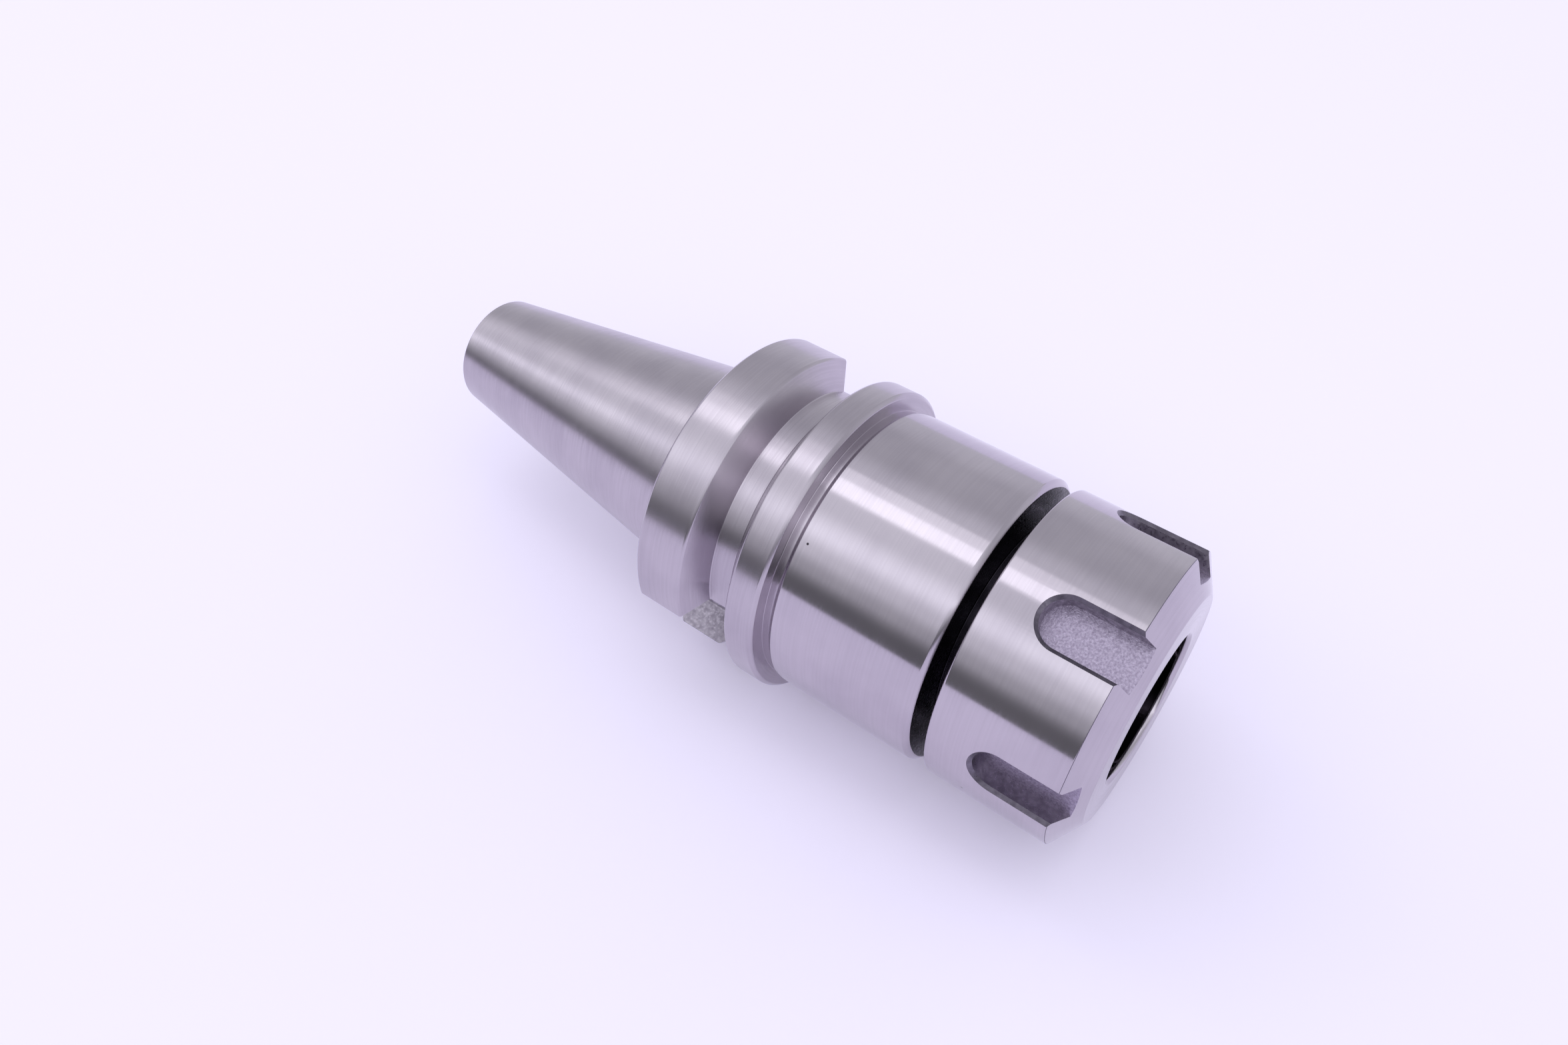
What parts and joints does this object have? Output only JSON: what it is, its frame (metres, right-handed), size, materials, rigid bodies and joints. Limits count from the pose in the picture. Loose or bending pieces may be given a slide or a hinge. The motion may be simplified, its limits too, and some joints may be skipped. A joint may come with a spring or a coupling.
{
  "type": "collet chuck holder",
  "caption": "Steel tool holder with a steep taper shank, a grooved flange with drive keyways, a straight body and a slotted clamping nut for collets.",
  "frame": {"origin": "centre of the clamping nut's front face, where the holder stands on end", "axes": "+Z along the axis towards the small end of the taper, +X through one drive keyway"},
  "size_m": [0.046, 0.046, 0.1159],
  "materials": {
    "holder_steel": "ground and turned, satin",
    "nut_steel": "turned, satin"
  },
  "bodies": {
    "holder": {"holder_body": "holder_steel"},
    "nut": {"clamping_nut": "nut_steel"}
  },
  "joints": [
    {"name": "nut_travel", "type": "slide", "parent": "holder", "child": "nut", "axis": [0, 0, -1], "range_m": [-0.002, 0.01]}
  ]
}
